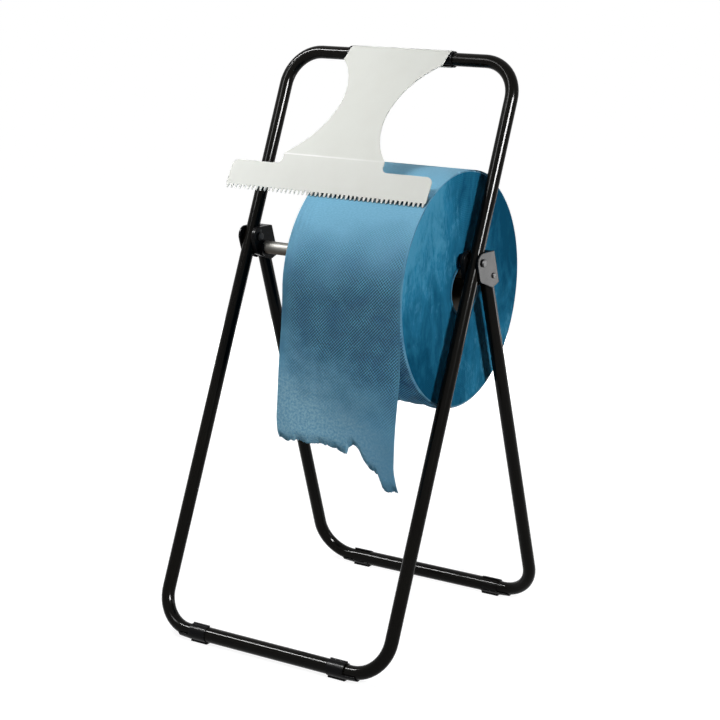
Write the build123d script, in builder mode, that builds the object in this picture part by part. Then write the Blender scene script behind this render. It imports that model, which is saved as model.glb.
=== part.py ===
from build123d import *
import math
import os

# A folding floor stand for one wide paper roll. Millimetres, +X to the right, -Y to the front, +Z up.
# The origin is on the floor, midway between the two base bars.

# Clearances shared by all pieces
fit_gap = 0.05          # pushed-in and running fits, on the radius
run_gap = 0.3           # between faces that pass or lie close to each other
overrun = 5             # how far a cut runs past the face it opens

# Tube frame
leg_diameter = 22
leg_wall = 1.5
bar_wall = 1.45
leg_spacing = 440
base_depth = 488
front_leg_length = 1000
front_lean = 21.75      # degrees from upright
bend_radius = 60
bar_end_gap = 8         # straight tube left between a base bar's end and the bend
stub_length = 40

# Foot clips on the base bars
foot_wall = 1.2
foot_length = 32
foot_nose_length = 22
foot_nose_wall = 0.9
foot_pad_width = 12
foot_pad_height = 1.8   # how far the flat pad stands below the round of the clip
foot_pad_root_share = 0.75  # how deep the pad is rooted in the clip's wall
foot_lip_height = 1.4
foot_lip_thickness = 2
foot_open_angle = 100   # degrees above the outward side, where the clip ends in its lip
foot_wrap_angle = 250
foot_nose_wrap_angle = 140

# Fold hinge and the rear legs
pivot_below_top = 330   # from the top bar down the front leg
folded_gap = 2.5        # left between front and rear legs when folded
fold_angle = 39
pivot_diameter = 8
pivot_head_diameter = 13
pivot_head_height = 3
pivot_nut_height = 4
pivot_thread_share = 0.6  # how deep the bolt goes into its nut
head_round_share = 0.6  # rounding of a domed head, as a share of its height
cheek_thickness = 3.5
fork_wall = 2.4
lobe_radius = 16
fork_drop = 52          # from the pivot down to the fork's lower end
fork_front_drop = 26
fork_bottom_depth = 21  # flat length of the fork's lower end
fork_corner_radius = 8
fork_leg_room = 3
rear_tube_drop = 5      # from the pivot down to the rear tube's upper end
rivet_diameter = 5
rivet_head_diameter = 9
rivet_head_height = 2.2
rivet_drop = 34
stud_diameter = 5
stud_tail = 2           # length that stands inside the leg
stud_distance = 9.8     # from the pivot, up the front leg
stud_slot_gap = 0.4

# Spindle and its holders
spindle_diameter = 22
spindle_wall = 1.5
spindle_behind = 15.2   # from the pivot, to the rear
spindle_below = 20
spindle_end_gap = 0.4
holder_thickness = 3.5
cradle_length = 6
cradle_wall = 4
cradle_start_angle = 150
cradle_end_angle = 300
plug_length = 15
plug_flange = 1.5

# Paper roll and its free end
roll_diameter = 382.4
roll_width = 226
roll_end_gap = 1.9      # from the right cradle to the roll's right face
roll_edge_radius = 2
core_bore = 80
core_wall = 3.5
sheet_thickness = 1
sheet_drop = 300
sheet_lean = 15         # how far the free end leans forward at its foot
# Torn edge from left to right: share of the roll's width, share of the sheet's drop
torn_shares = [
    (0, 0.82), (0.1, 0.815), (0.43, 0.81), (0.58, 0.84), (0.585, 0.805), (0.63, 0.785), (0.69, 0.82),
    (0.76, 0.9), (0.83, 0.915), (0.86, 0.97), (0.9, 1), (0.95, 0.99), (0.97, 0.975), (1, 0.99),
]

# Tear plate on the top bar
plate_thickness = 1.5
plate_reach = 250       # from the top bar to the bend
plate_half_width = 96
plate_waist = 49        # half width at the waist
plate_collar = 28       # straight sides below the top bar
plate_bend_angle = 20.8
plate_bend_radius = 8
hook_wrap_angle = 215
blade_length = 68       # from the bend to the tips of the teeth
blade_half_width = 191
blade_shoulder = 18     # from the bend to the blade's upper edge
blade_corner_radius = 11
blade_neck_radius = 10
tooth_count = 46
tooth_height = 7
tooth_gap_share = 0.4   # flat root between two teeth, as a share of their pitch
tooth_tip_share = 0.2
bush_wall = 1.5
bush_seat = 15          # length inside the hook
bush_reach = 5          # length outside the hook
bush_rim = 0.8
bush_rim_length = 3
bush_slit = 5
bush_slit_angle = 235

# Worked-out sizes
leg_radius = leg_diameter / 2
bar_bore_radius = leg_radius + fit_gap
bar_radius = bar_bore_radius + bar_wall
foot_bore_radius = bar_radius + fit_gap
foot_radius = foot_bore_radius + foot_wall
bar_height = foot_radius + foot_pad_height
half_spacing = leg_spacing / 2
base_bar_length = leg_spacing - 2 * bend_radius - 2 * bar_end_gap
stub_start = base_bar_length / 2 - stub_length
pivot_radius = pivot_diameter / 2
spindle_radius = spindle_diameter / 2
roll_radius = roll_diameter / 2
sides = {"left": -1, "right": 1}
ends = {"front": -1, "rear": 1}


def cos_deg(angle):
    """Cosine of an angle in degrees."""
    return math.cos(math.radians(angle))


def sin_deg(angle):
    """Sine of an angle in degrees."""
    return math.sin(math.radians(angle))


# Front frame plane: local x along the base bar, local y up the leg
front_bar_y = -base_depth / 2
front_plane = Plane(
    origin=(0, front_bar_y, bar_height),
    x_dir=(1, 0, 0),
    z_dir=(0, -cos_deg(front_lean), sin_deg(front_lean)),
)
top_bar_y = front_bar_y + front_leg_length * sin_deg(front_lean)
top_bar_z = bar_height + front_leg_length * cos_deg(front_lean)

# Fold pivot on the front leg, and the rear leg that hangs behind it
pivot_distance = front_leg_length - pivot_below_top
pivot_y = front_bar_y + pivot_distance * sin_deg(front_lean)
pivot_z = bar_height + pivot_distance * cos_deg(front_lean)
rear_offset = leg_diameter + folded_gap
rear_bar_y = base_depth / 2
rear_span = math.hypot(rear_bar_y - pivot_y, pivot_z - bar_height)
rear_line = math.degrees(math.atan2(rear_bar_y - pivot_y, pivot_z - bar_height))
rear_lean = rear_line - math.degrees(math.asin(rear_offset / rear_span))
rear_leg_length = math.sqrt(rear_span**2 - rear_offset**2)
leg_turn = front_lean + rear_lean
rear_plane = Plane(
    origin=(0, rear_bar_y, bar_height),
    x_dir=(1, 0, 0),
    z_dir=(0, -cos_deg(rear_lean), -sin_deg(rear_lean)),
)

# Stack across the hinge, as distances from the leg's axis towards the middle of the stand
cheek_near = leg_radius + run_gap
cheek_far = cheek_near + cheek_thickness
holder_near = cheek_far + run_gap
holder_far = holder_near + holder_thickness
holder_face_x = half_spacing - holder_far
fork_back = -(rear_offset + leg_radius + fit_gap + fork_wall)
rivet_spot = (-rear_offset, -rivet_drop)
stud_spot = (-stud_distance * sin_deg(leg_turn), stud_distance * cos_deg(leg_turn))

# Spindle and roll axes
spindle_y = pivot_y + spindle_behind
spindle_z = pivot_z - spindle_below
spindle_half = holder_face_x - spindle_end_gap
cradle_radius = spindle_radius + run_gap
core_radius = core_bore / 2
roll_y = spindle_y
roll_z = spindle_z + spindle_radius + run_gap - core_radius
roll_right = holder_face_x - cradle_length - roll_end_gap
roll_left = roll_right - roll_width

# Tear plate: its toothed tip rests on the roll, which sets how far the plate dips
bush_radius = leg_radius + fit_gap + bush_wall
hook_radius = bush_radius + fit_gap + plate_thickness / 2
half_sheet = plate_thickness / 2
tip_along = plate_reach + blade_length * cos_deg(plate_bend_angle) - half_sheet * sin_deg(plate_bend_angle)
tip_above = hook_radius - blade_length * sin_deg(plate_bend_angle) - half_sheet * cos_deg(plate_bend_angle)
tip_distance = math.hypot(tip_along, tip_above)
tip_stop = roll_radius + run_gap
roll_distance = math.hypot(top_bar_y - roll_y, top_bar_z - roll_z)
roll_dip = math.degrees(math.atan2(top_bar_z - roll_z, top_bar_y - roll_y))
tip_cosine = (tip_distance**2 + roll_distance**2 - tip_stop**2) / (2 * tip_distance * roll_distance)
tip_dip = roll_dip - math.degrees(math.acos(tip_cosine))
plate_dip = tip_dip + math.degrees(math.atan2(tip_above, tip_along))
blade_dip = plate_dip + plate_bend_angle


def save(builder, name):
    """Label one finished piece and write its file."""
    builder.part.label = name
    export_step(builder.part, f"parts/{name}.step")


def across(x, y, z):
    """Plane square to X: local x to the rear, local y up, extruding to the right."""
    return Plane(origin=(x, y, z), x_dir=(0, 1, 0), z_dir=(1, 0, 0))


def foot_plane(side, outward, along):
    """Plane square to a base bar: local x away from the stand's middle, local y up."""
    return Plane(
        origin=(side * along, outward * base_depth / 2, bar_height),
        x_dir=(0, outward, 0),
        z_dir=(outward, 0, 0),
    )


def hinge_plane(side, near, thickness):
    """Plane about the pivot for a plate beside a leg: local x forward, local y up the rear leg.

    The plate lies between near and near + thickness, counted from the leg's axis towards the middle
    of the stand. The plane is on the plate's right face and extrudes to the left.
    """
    leg_x = side * half_spacing
    right_face = max(leg_x - side * near, leg_x - side * (near + thickness))
    return Plane(
        origin=(right_face, pivot_y, pivot_z),
        x_dir=(0, -cos_deg(rear_lean), -sin_deg(rear_lean)),
        z_dir=(-1, 0, 0),
    )


def top_edge(forward, lowered=0):
    """Height along the rear leg of a bracket's level upper edge, at a forward distance."""
    return (lobe_radius - lowered + sin_deg(rear_lean) * forward) / cos_deg(rear_lean)


def bracket_profile(plane):
    """Outline of a bracket plate: a round lobe about the pivot, a level top and a slanted foot."""
    corners = [
        (lobe_radius, -fork_front_drop),
        (lobe_radius, top_edge(lobe_radius)),
        (fork_back, top_edge(fork_back)),
        (fork_back, -fork_drop),
        (fork_back + fork_bottom_depth, -fork_drop),
    ]
    radii = [fork_corner_radius, lobe_radius, fork_wall, fork_wall, fork_corner_radius]
    with BuildSketch(plane) as profile:
        with BuildLine():
            FilletPolyline(corners, radius=radii, close=True)
        make_face()
    return profile.sketch


def ring_sector(plane, inner, outer, start, turn):
    """A round wall seen end on, from the start angle through the turn."""
    with BuildSketch(plane) as sector:
        with BuildLine():
            inside = CenterArc((0, 0), inner, start, turn)
            outside = CenterArc((0, 0), outer, start, turn)
            Line(inside @ 0, outside @ 0)
            Line(inside @ 1, outside @ 1)
        make_face()
    return sector.sketch


def ring(plane, inner, outer):
    """A round tube section."""
    with BuildSketch(plane) as section:
        Circle(outer)
        Circle(inner, mode=Mode.SUBTRACT)
    return section.sketch


def disc(plane, radius, spot=(0, 0)):
    """A round section at a spot on a plane."""
    with BuildSketch(plane) as section:
        with Locations(spot):
            Circle(radius)
    return section.sketch


def end_face(shape_faces, side):
    """The face furthest to the left or to the right."""
    return shape_faces.sort_by(Axis.X)[0 if side < 0 else -1]


os.makedirs("parts", exist_ok=True)

# Front frame: one tube from stub to stub, up both legs and across the top
with BuildPart() as front_frame:
    with BuildLine(front_plane) as loop:
        FilletPolyline(
            (-stub_start, 0),
            (-half_spacing, 0),
            (-half_spacing, front_leg_length),
            (half_spacing, front_leg_length),
            (half_spacing, 0),
            (stub_start, 0),
            radius=bend_radius,
        )
    with BuildSketch(Plane(origin=loop.wire() @ 0, z_dir=loop.wire() % 0)):
        Circle(leg_radius)
        Circle(leg_radius - leg_wall, mode=Mode.SUBTRACT)
    sweep()
    for side in sides.values():
        through_leg = hinge_plane(side, -cheek_far, 2 * cheek_far)
        extrude(disc(through_leg, pivot_radius + fit_gap), amount=2 * cheek_far, mode=Mode.SUBTRACT)
        inner_wall = hinge_plane(side, 0, cheek_far)
        stud_hole = disc(inner_wall, stud_diameter / 2 + fit_gap, stud_spot)
        extrude(stud_hole, amount=cheek_far, mode=Mode.SUBTRACT)
save(front_frame, "front_frame_tube")

# Base bars: thicker tubes pushed over the stubs of the legs
for end, outward in ends.items():
    with BuildPart() as base_bar:
        bar_end = across(-base_bar_length / 2, outward * base_depth / 2, bar_height)
        extrude(ring(bar_end, bar_bore_radius, bar_radius), amount=base_bar_length)
    save(base_bar, f"{end}_base_bar")

# Foot clips: an open ring with a lip, a flat pad below and a nose that fades out towards the bend
foot_start = base_bar_length / 2 - foot_length
foot_end = foot_start + foot_length
foot_low_angle = foot_open_angle - foot_wrap_angle
foot_pad_block = foot_pad_height + foot_pad_root_share * foot_wall
nose_radius = leg_radius + run_gap
for end, outward in ends.items():
    for word, side in sides.items():
        with BuildPart() as foot:
            band = foot_plane(side, outward, foot_start)
            grow = side * outward * foot_length
            grip = ring_sector(band, foot_bore_radius, foot_radius, foot_low_angle, foot_wrap_angle)
            extrude(grip, amount=grow)
            with BuildSketch(band):
                with Locations((0, foot_pad_block / 2 - bar_height)):
                    Rectangle(foot_pad_width, foot_pad_block)
                with PolarLocations(foot_radius + (foot_lip_height - foot_wall) / 2, 1, foot_open_angle):
                    Rectangle(foot_lip_height + foot_wall, foot_lip_thickness)
            extrude(amount=grow)
            nose = foot_plane(side, outward, foot_end)
            tip = foot_plane(side, outward, foot_end + foot_nose_length)
            tip_radius = nose_radius + foot_nose_wall
            root_ring = ring_sector(nose, nose_radius, foot_radius, foot_low_angle, foot_nose_wrap_angle)
            tip_ring = ring_sector(tip, nose_radius, tip_radius, foot_low_angle, foot_nose_wrap_angle)
            loft([root_ring.face(), tip_ring.face()], ruled=True)
        save(foot, f"{end}_{word}_foot")

# Rear legs: a straight tube that turns inwards at its foot and ends in the base bar
for word, side in sides.items():
    with BuildPart() as rear_leg:
        with BuildLine(rear_plane) as path:
            FilletPolyline(
                (side * stub_start, 0),
                (side * half_spacing, 0),
                (side * half_spacing, rear_leg_length - rear_tube_drop),
                radius=bend_radius,
            )
        with BuildSketch(Plane(origin=path.wire() @ 0, z_dir=path.wire() % 0)):
            Circle(leg_radius)
            Circle(leg_radius - leg_wall, mode=Mode.SUBTRACT)
        sweep()
        through_tube = hinge_plane(side, -cheek_far, 2 * cheek_far)
        rivet_hole = disc(through_tube, rivet_diameter / 2 + fit_gap, rivet_spot)
        extrude(rivet_hole, amount=2 * cheek_far, mode=Mode.SUBTRACT)
    save(rear_leg, f"rear_{word}_leg_tube")

# Hinge forks: two cheeks beside the front leg, joined behind and above the rear tube
for word, side in sides.items():
    with BuildPart() as fork:
        for near in (cheek_near, -cheek_far):
            cheek = bracket_profile(hinge_plane(side, near, cheek_thickness))
            extrude(cheek, amount=cheek_thickness)
        with BuildSketch(hinge_plane(side, -cheek_near, 2 * cheek_near)):
            add(bracket_profile(Plane.XY))
            with BuildLine():
                Polyline(
                    (fork_back + fork_wall, -fork_drop - overrun),
                    (lobe_radius + overrun, -fork_drop - overrun),
                    (lobe_radius + overrun, top_edge(lobe_radius + overrun, fork_wall)),
                    (fork_back + fork_wall, top_edge(fork_back + fork_wall, fork_wall)),
                    close=True,
                )
            make_face(mode=Mode.SUBTRACT)
            leg_way = 2 * (leg_radius + fork_leg_room)
            for turn in (leg_turn, leg_turn - fold_angle):
                Rectangle(leg_way, 2 * (fork_drop + overrun), rotation=turn, mode=Mode.SUBTRACT)
        extrude(amount=2 * cheek_near)
        through_fork = hinge_plane(side, -cheek_far, 2 * cheek_far)
        extrude(disc(through_fork, pivot_radius + fit_gap), amount=2 * cheek_far, mode=Mode.SUBTRACT)
        rivet_hole = disc(through_fork, rivet_diameter / 2 + fit_gap, rivet_spot)
        extrude(rivet_hole, amount=2 * cheek_far, mode=Mode.SUBTRACT)
        with BuildSketch(hinge_plane(side, cheek_near, cheek_thickness)):
            with BuildLine(mode=Mode.PRIVATE) as stud_way:
                CenterArc((0, 0), stud_distance, 90 + leg_turn - fold_angle, fold_angle)
            SlotArc(stud_way.edge(), stud_diameter + 2 * stud_slot_gap)
        extrude(amount=cheek_thickness, mode=Mode.SUBTRACT)
    save(fork, f"{word}_hinge_fork")

# Fork rivets: a domed head outside, flush with the inner cheek
for word, side in sides.items():
    with BuildPart() as rivet:
        shank = hinge_plane(side, -cheek_far, 2 * cheek_far)
        extrude(disc(shank, rivet_diameter / 2, rivet_spot), amount=2 * cheek_far)
        head = hinge_plane(side, -cheek_far - rivet_head_height, rivet_head_height)
        extrude(disc(head, rivet_head_diameter / 2, rivet_spot), amount=rivet_head_height)
        fillet(end_face(faces(), side).edges(), radius=head_round_share * rivet_head_height)
    save(rivet, f"{word}_fork_rivet")

# Spindle holders: a plate inside the fork with an open cradle for the spindle's end
for word, side in sides.items():
    with BuildPart() as holder:
        plate = hinge_plane(side, holder_near, holder_thickness)
        extrude(bracket_profile(plate), amount=holder_thickness)
        face = across(side * holder_face_x, spindle_y, spindle_z)
        cradle_outer = cradle_radius + cradle_wall
        cradle_turn = cradle_end_angle - cradle_start_angle
        cradle = ring_sector(face, cradle_radius, cradle_outer, cradle_start_angle, cradle_turn)
        extrude(cradle, amount=-side * cradle_length)
        extrude(disc(plate, pivot_radius + fit_gap), amount=holder_thickness, mode=Mode.SUBTRACT)
        stud_hole = disc(plate, stud_diameter / 2 + fit_gap, stud_spot)
        extrude(stud_hole, amount=holder_thickness, mode=Mode.SUBTRACT)
    save(holder, f"{word}_spindle_holder")

# Pivot bolts: a low domed head outside, the shank through fork, leg and holder
bolt_start = cheek_far + run_gap
bolt_length = bolt_start + holder_far + pivot_thread_share * pivot_nut_height
for word, side in sides.items():
    with BuildPart() as bolt:
        extrude(disc(hinge_plane(side, -bolt_start, bolt_length), pivot_radius), amount=bolt_length)
        head = hinge_plane(side, -bolt_start - pivot_head_height, pivot_head_height)
        extrude(disc(head, pivot_head_diameter / 2), amount=pivot_head_height)
        fillet(end_face(faces(), side).edges(), radius=head_round_share * pivot_head_height)
    save(bolt, f"{word}_pivot_bolt")

# Pivot nuts: low caps on the holder's inner face
for word, side in sides.items():
    with BuildPart() as nut:
        cap = hinge_plane(side, holder_far, pivot_nut_height)
        extrude(disc(cap, pivot_head_diameter / 2), amount=pivot_nut_height)
        fillet(end_face(faces(), -side).edges(), radius=head_round_share * pivot_head_height)
        thread_depth = pivot_thread_share * pivot_nut_height + fit_gap
        thread = hinge_plane(side, holder_far, thread_depth)
        extrude(disc(thread, pivot_radius + fit_gap), amount=thread_depth, mode=Mode.SUBTRACT)
    save(nut, f"{word}_pivot_nut")

# Stop studs: from the leg's wall through the fork's curved slot, flush with the holder's inner face
stud_root = leg_radius - leg_wall - stud_tail
stud_length = holder_far - stud_root
for word, side in sides.items():
    with BuildPart() as stud:
        shank = hinge_plane(side, stud_root, stud_length)
        extrude(disc(shank, stud_diameter / 2, stud_spot), amount=stud_length)
    save(stud, f"{word}_stop_stud")

# Tear plate: local x across, local y up towards the top bar, on the middle of the sheet
plate_y = top_bar_y - hook_radius * sin_deg(plate_dip)
plate_z = top_bar_z + hook_radius * cos_deg(plate_dip)
plate_plane = Plane(
    origin=(0, plate_y, plate_z),
    x_dir=(1, 0, 0),
    z_dir=(0, -sin_deg(plate_dip), cos_deg(plate_dip)),
)
blade_plane = Plane(
    origin=plate_plane.from_local_coords((0, -plate_reach, 0)),
    x_dir=(1, 0, 0),
    z_dir=(0, -sin_deg(blade_dip), cos_deg(blade_dip)),
)
bend_middle = plate_bend_radius + half_sheet
bend_tangent = bend_middle * math.tan(math.radians(plate_bend_angle) / 2)
bend_centre = plate_plane.from_local_coords((0, bend_tangent - plate_reach, -bend_middle))
plate_end = bend_tangent - plate_reach
waist_place = -(plate_collar + plate_reach) / 2
tooth_pitch = 2 * blade_half_width / tooth_count
tooth_root = tooth_height - blade_length
gap_half = tooth_gap_share * tooth_pitch / 2
tip_half = tooth_tip_share * tooth_pitch / 2
teeth = [(-blade_half_width, tooth_root)]
for tooth in range(tooth_count):
    tooth_left = tooth * tooth_pitch - blade_half_width
    tooth_middle = tooth_left + tooth_pitch / 2
    teeth.append((tooth_left + gap_half, tooth_root))
    teeth.append((tooth_middle - tip_half, -blade_length))
    teeth.append((tooth_middle + tip_half, -blade_length))
    teeth.append((tooth_left + tooth_pitch - gap_half, tooth_root))
teeth.append((blade_half_width, tooth_root))
shoulders = [
    (blade_half_width, -blade_shoulder),
    (plate_half_width, -blade_shoulder),
    (plate_half_width, -bend_tangent),
    (-plate_half_width, -bend_tangent),
    (-plate_half_width, -blade_shoulder),
    (-blade_half_width, -blade_shoulder),
]
shoulder_radii = [blade_corner_radius, blade_neck_radius, 0, 0, blade_neck_radius, blade_corner_radius]
with BuildPart() as tear_plate:
    bar_axis = across(-plate_half_width, top_bar_y, top_bar_z)
    hook_end = 90 + plate_dip - hook_wrap_angle
    hook = ring_sector(
        bar_axis, hook_radius - half_sheet, hook_radius + half_sheet, hook_end, hook_wrap_angle
    )
    extrude(hook, amount=2 * plate_half_width)
    with BuildSketch(plate_plane.offset(-half_sheet)):
        with BuildLine():
            Polyline(
                (-plate_half_width, -plate_collar),
                (-plate_half_width, 0),
                (plate_half_width, 0),
                (plate_half_width, -plate_collar),
            )
            ThreePointArc(
                (plate_half_width, -plate_collar), (plate_waist, waist_place), (plate_half_width, plate_end)
            )
            Line((plate_half_width, plate_end), (-plate_half_width, plate_end))
            ThreePointArc(
                (-plate_half_width, plate_end), (-plate_waist, waist_place), (-plate_half_width, -plate_collar)
            )
        make_face()
    extrude(amount=plate_thickness)
    bend_axis = across(-plate_half_width, bend_centre.Y, bend_centre.Z)
    bend = ring_sector(
        bend_axis, plate_bend_radius, plate_bend_radius + plate_thickness, 90 + plate_dip, plate_bend_angle
    )
    extrude(bend, amount=2 * plate_half_width)
    with BuildSketch(blade_plane.offset(-half_sheet)):
        with BuildLine():
            FilletPolyline(teeth + shoulders, radius=[0] * len(teeth) + shoulder_radii, close=True)
        make_face()
    extrude(amount=plate_thickness)
save(tear_plate, "tear_plate")

# Plate bushes: split sleeves between the hook and the top bar, with a rim outside
for word, side in sides.items():
    with BuildPart() as bush:
        sleeve_length = bush_seat + bush_reach
        sleeve = across(side * (plate_half_width - bush_seat), top_bar_y, top_bar_z)
        extrude(ring(sleeve, leg_radius + fit_gap, bush_radius), amount=side * sleeve_length)
        rim = across(side * (plate_half_width + bush_reach - bush_rim_length), top_bar_y, top_bar_z)
        extrude(ring(rim, leg_radius + fit_gap, bush_radius + bush_rim), amount=side * bush_rim_length)
        with BuildSketch(sleeve):
            with PolarLocations(bush_radius, 1, bush_slit_angle):
                Rectangle(bush_radius, bush_slit)
        extrude(amount=side * sleeve_length, mode=Mode.SUBTRACT)
    save(bush, f"{word}_plate_bush")

# Spindle: a steel tube with a plug in each end
spindle_tube_half = spindle_half - plug_flange
spindle_bore = spindle_radius - spindle_wall
with BuildPart() as spindle:
    tube_end = across(-spindle_tube_half, spindle_y, spindle_z)
    extrude(ring(tube_end, spindle_bore, spindle_radius), amount=2 * spindle_tube_half)
save(spindle, "spindle_tube")
for word, side in sides.items():
    with BuildPart() as plug:
        mouth = across(side * spindle_tube_half, spindle_y, spindle_z)
        extrude(disc(mouth, spindle_radius), amount=side * plug_flange)
        extrude(disc(mouth, spindle_bore - fit_gap), amount=-side * plug_length)
    save(plug, f"{word}_spindle_plug")

# Paper roll on its cardboard core
core_outer = core_radius + core_wall
roll_start = across(roll_left, roll_y, roll_z)
with BuildPart() as core:
    extrude(ring(roll_start, core_radius, core_outer), amount=roll_width)
save(core, "roll_core")
with BuildPart() as roll:
    extrude(ring(roll_start, core_outer + fit_gap, roll_radius), amount=roll_width)
    outer_edges = edges().filter_by(GeomType.CIRCLE).group_by(SortBy.RADIUS)[-1]
    fillet(outer_edges, radius=roll_edge_radius)
save(roll, "paper_roll")

# Hanging sheet: leaves the front of the roll upright, leans forward as it falls, torn at its foot
sheet_bow = (sheet_drop**2 + sheet_lean**2) / (2 * sheet_lean)
sheet_panel = sheet_drop + overrun
sheet_turn = math.degrees(math.asin(sheet_panel / sheet_bow))
sheet_back = roll_y - roll_radius - run_gap
with BuildPart() as sheet:
    bow_axis = across(roll_left, sheet_back - sheet_bow, roll_z)
    panel = ring_sector(bow_axis, sheet_bow - sheet_thickness, sheet_bow, -sheet_turn, sheet_turn)
    extrude(panel, amount=roll_width)
    torn_points = [(right * roll_width, -down * sheet_drop) for right, down in torn_shares]
    below = -sheet_panel - overrun
    facing = Plane(origin=(roll_left, sheet_back, roll_z), x_dir=(1, 0, 0), z_dir=(0, -1, 0))
    with BuildSketch(facing):
        with BuildLine():
            Polyline(
                (-overrun, torn_points[0][1]),
                *torn_points,
                (roll_width + overrun, torn_points[-1][1]),
                (roll_width + overrun, below),
                (-overrun, below),
                close=True,
            )
        make_face()
    extrude(amount=2 * (sheet_lean + overrun), both=True, mode=Mode.SUBTRACT)
save(sheet, "hanging_sheet")
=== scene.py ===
# %% [markdown]
# # A folding floor stand with a wide roll of blue wiping paper
# The real stand is a loop of bent black tube that leans back, with two rear legs that fold on side brackets.
# A bright spindle lies in open cradles and carries the roll, and a white toothed plate rests on the paper.
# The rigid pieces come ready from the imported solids, so this lesson gives them finishes, makes the paper and
# lights the stand.

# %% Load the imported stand
import math

import bpy
import numpy as np
from mathutils import Matrix, Vector


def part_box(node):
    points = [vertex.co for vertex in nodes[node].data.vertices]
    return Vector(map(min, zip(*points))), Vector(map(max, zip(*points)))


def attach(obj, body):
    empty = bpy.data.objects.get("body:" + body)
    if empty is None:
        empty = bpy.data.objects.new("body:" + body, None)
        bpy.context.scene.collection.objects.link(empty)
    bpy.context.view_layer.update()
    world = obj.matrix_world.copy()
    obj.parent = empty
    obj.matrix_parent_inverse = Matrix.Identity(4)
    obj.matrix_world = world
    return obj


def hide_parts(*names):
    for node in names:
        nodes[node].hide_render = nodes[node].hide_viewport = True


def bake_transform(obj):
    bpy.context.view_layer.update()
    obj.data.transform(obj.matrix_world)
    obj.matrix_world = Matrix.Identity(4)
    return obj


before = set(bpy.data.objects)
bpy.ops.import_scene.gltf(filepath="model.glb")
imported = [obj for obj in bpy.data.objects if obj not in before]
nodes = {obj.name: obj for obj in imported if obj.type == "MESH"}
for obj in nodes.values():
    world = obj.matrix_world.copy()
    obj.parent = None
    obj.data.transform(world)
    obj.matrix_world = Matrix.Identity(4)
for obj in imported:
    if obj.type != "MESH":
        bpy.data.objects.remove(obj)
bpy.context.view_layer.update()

# %% [markdown]
# ## Measures of the paper and the spindle
# Everything about the paper follows from where its solids lie: the roll's axis and radius, its width, and the line
# where the free end leaves the roll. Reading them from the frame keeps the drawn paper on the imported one.

# %% Read the roll's axis and radius
roll_low, roll_high = (np.array(corner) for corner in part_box("paper_roll"))
sheet_low, sheet_high = (np.array(corner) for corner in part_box("hanging_sheet"))
core_low, core_high = (np.array(corner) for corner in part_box("roll_core"))
spindle_low, spindle_high = (np.array(corner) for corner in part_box("spindle_tube"))
axis_y, axis_z = (roll_low[1:] + roll_high[1:]) / 2
roll_radius = (roll_high[2] - roll_low[2]) / 2
roll_left, roll_right = roll_low[0], roll_high[0]
roll_width = roll_right - roll_left
roll_middle = (roll_left + roll_right) / 2
core_radius = (core_high[2] - core_low[2]) / 2
hang_length = sheet_high[2] - sheet_low[2]
spindle_z = (spindle_low[2] + spindle_high[2]) / 2
print("roll radius", round(roll_radius, 4), "core", round(core_radius, 4), "free end", round(hang_length, 4))

# %% [markdown]
# ## A short way to write finishes
# A finish here is a node material. The helper below adds a node and sets or links its sockets in one line, so that a
# finish reads like a recipe: where, which cloud or line pattern, and which socket of the shader it drives.
# A library of image textures would be quicker, but it would not follow these shapes at the right scale.
# Most values of a noise cloud lie between 0.3 and 0.7, so that range is what a finish spreads out.

# %% The finish helper
cloud_range = (0.3, 0.7)


class Finish:
    """One node tree. add makes a node; a socket given as a value is linked, any other value is set."""

    def __init__(self, name, owner=None):
        self.owner = owner or bpy.data.materials.new(name)
        self.owner.use_nodes = True
        self.nodes = self.owner.node_tree.nodes
        self.links = self.owner.node_tree.links
        self.nodes.clear()

    def add(self, kind, inputs=None, **options):
        node = self.nodes.new("ShaderNode" + kind)
        for key, value in options.items():
            setattr(node, key, value)
        for key, value in (inputs or {}).items():
            self.give(node.inputs[key], value)
        return node

    def give(self, socket, value):
        if isinstance(value, bpy.types.NodeSocket):
            self.links.new(value, socket)
        else:
            socket.default_value = value

    def where(self):
        """Object coordinates: metres in the frame that all pieces share."""
        return self.add("TexCoord").outputs["Object"]

    def placed(self, where, location=(0, 0, 0), scale=(1, 1, 1), turn=(0, 0, 0)):
        """The same coordinates moved, turned and stretched."""
        wanted = {"Vector": where, "Location": location, "Rotation": turn, "Scale": scale}
        return self.add("Mapping", wanted).outputs["Vector"]

    def parts(self, vector):
        """The X, Y and Z of a vector, by name."""
        return self.add("SeparateXYZ", {0: vector}).outputs

    def cloud(self, where, per_metre, detail=4.0, rough=0.55, swirl=0.0):
        """Cloudy noise from 0 to 1, with so many clouds in a metre, stirred by swirl."""
        wanted = {"Vector": where, "Scale": per_metre, "Detail": detail, "Roughness": rough, "Distortion": swirl}
        return self.add("TexNoise", wanted).outputs["Fac"]

    def spread(self, value, low, high, new_low=0.0, new_high=1.0):
        """value from low to high becomes new_low to new_high, held at both ends."""
        wanted = {"Value": value, "From Min": low, "From Max": high, "To Min": new_low, "To Max": new_high}
        return self.add("MapRange", wanted).outputs["Result"]

    def math(self, operation, first, second=0.0, third=0.0):
        return self.add("Math", {0: first, 1: second, 2: third}, operation=operation).outputs[0]

    def mix(self, share, first, second):
        """The first colour where share is 0, the second where it is 1."""
        return self.add("Mix", {0: share, 6: first, 7: second}, data_type="RGBA").outputs[2]

    def relief(self, height, depth, strength=1.0, edge=0.0):
        """A bump of so many metres for a height of 1, on edges that shine as if rounded to the radius edge."""
        wanted = {"Height": height, "Distance": depth, "Strength": strength}
        if edge:
            wanted["Normal"] = self.add("Bevel", {"Radius": edge}, samples=6).outputs[0]
        return self.add("Bump", wanted).outputs["Normal"]

    def shader(self, **sockets):
        """The Principled shader with its sockets named by words joined with _."""
        node = self.add("BsdfPrincipled")
        for key, value in sockets.items():
            self.give(node.inputs[key.replace("_", " ")], value)
        return node.outputs[0]

    def end(self, surface, kind="OutputMaterial"):
        self.give(self.add(kind).inputs["Surface"], surface)
        return self.owner


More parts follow.
